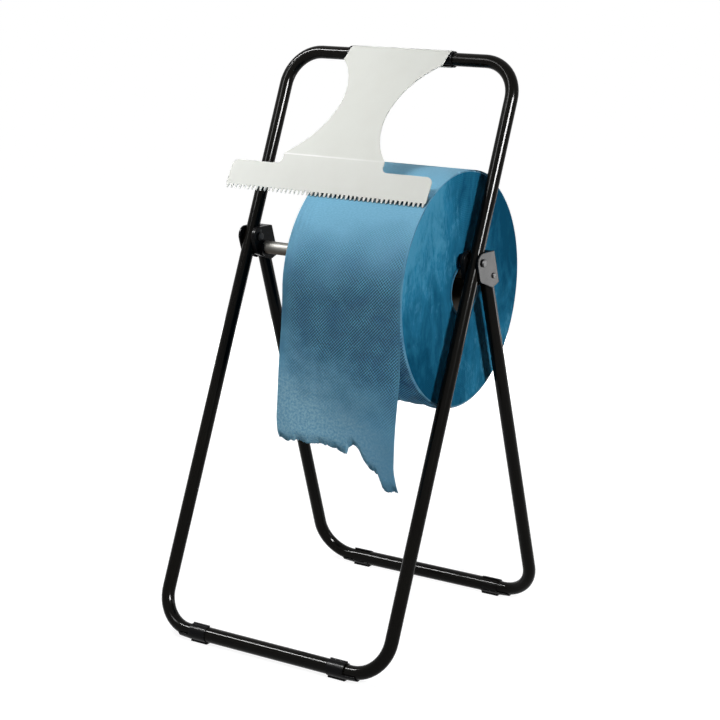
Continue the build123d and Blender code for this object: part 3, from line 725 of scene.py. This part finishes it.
side = np.linspace(-floor_half, floor_half, floor_lines)
floor_points = np.stack(np.broadcast_arrays(side[None, :], side[:, None], np.array([[floor_z]])), axis=-1)
floor = mesh_piece("floor", floor_points.reshape(-1, 3), grid_faces(floor_lines, floor_lines), [white_floor()])
scene = bpy.context.scene
scene.world = white_world(bpy.data.worlds.new("white_studio"))
print("floor and world ready")

# %% [markdown]
# ## Lamps
# Three lamps light the paper and draw no reflections: one above and to the left lights the top of the roll and leaves
# its upright front in half light, one at the right lights the roll's end past the legs, and a low one behind lights
# the back and shines through the hanging paper. Four more are seen only as reflections: three draw the lines on the
# black tubes, and a small one greys the right bracket's face. One lamp for both jobs would be simpler, but then a
# line on a tube could not be placed without changing the light on the paper.

# %% Hang the lamps
def softbox(name, place, aim, along, size, watts, lights=True, shines=True):
    """A flat lamp at place that faces aim, its length as near to the direction along as that allows."""
    lamp = bpy.data.lights.new(name, "AREA")
    lamp.shape = "RECTANGLE"
    lamp.size, lamp.size_y = size
    lamp.energy = watts
    back = (Vector(place) - Vector(aim)).normalized()
    level = Vector(along) - back * back.dot(Vector(along))
    level.normalize()
    box = bpy.data.objects.new(name, lamp)
    bpy.context.collection.objects.link(box)
    turned = Matrix((level, back.cross(level), back)).transposed().to_4x4()
    box.matrix_world = Matrix.Translation(place) @ turned
    box.visible_camera, box.visible_diffuse, box.visible_glossy = False, lights, shines


wide, deep, tall = (1, 0, 0), (0, 1, 0), (0, 0, 1)
softbox("overhead", (-0.75, -0.55, 1.62), (0.0, -0.05, 0.72), wide, (0.34, 0.34), watts=12.3, shines=False)
softbox("right_side", (2.3, -1.2, 1.7), (0.1, 0.0, 0.62), deep, (0.25, 0.3), watts=42, shines=False)
softbox("rear_wash", (-0.9, 2.3, 0.32), (0.05, -0.2, 0.38), wide, (1.6, 0.5), watts=80, shines=False)
softbox("right_line", (2.35, -0.86, 1.85), (0.1, 0.0, 0.75), deep, (0.9, 0.55), watts=380, lights=False)
softbox("upper_left_line", (-1.68, -1.16, 2.5), (0.0, 0.0, 0.4), wide, (0.8, 0.2), watts=130, lights=False)
softbox("left_band", (-1.3, -2.4, 2.64), (0.0, 0.0, 0.75), wide, (0.6, 0.8), watts=45, lights=False)
softbox("bracket_glance", (0.64, 0.7, 0.47), (0.24, 0.0, 0.61), tall, (0.26, 0.22), watts=1.9, lights=False)

# %% [markdown]
# ## Camera
# The photo was taken from the right, a little above the stand, with a long lens. The place and the angles come from
# matching the frame's edges and the roll, and the view leans by a degree. Turning a camera by hand until it looks
# right is quicker, but only a matched one lets every piece be laid over the photo.

# %% Set the camera
eye = np.array([1.70110, -2.59960, 1.14295])
yaw, dip, lean = 0.57716, 0.21926, 0.01639
ahead = np.array([-math.sin(yaw) * math.cos(dip), math.cos(yaw) * math.cos(dip), -math.sin(dip)])
right = np.array([math.cos(yaw), math.sin(yaw), 0.0])
over = np.cross(right, ahead)
turned_right = math.cos(lean) * right + math.sin(lean) * over
turned_over = math.cos(lean) * over - math.sin(lean) * right
camera_data = bpy.data.cameras.new("camera")
camera_data.lens, camera_data.sensor_width = 95.73, 36.0
camera = bpy.data.objects.new("camera", camera_data)
bpy.context.collection.objects.link(camera)
columns = np.column_stack([turned_right, turned_over, -ahead, eye])
camera.matrix_world = Matrix(np.vstack([columns, [0, 0, 0, 1]]))
scene.camera = camera
scene.view_settings.view_transform = "Standard"
print("camera at", eye.tolist())
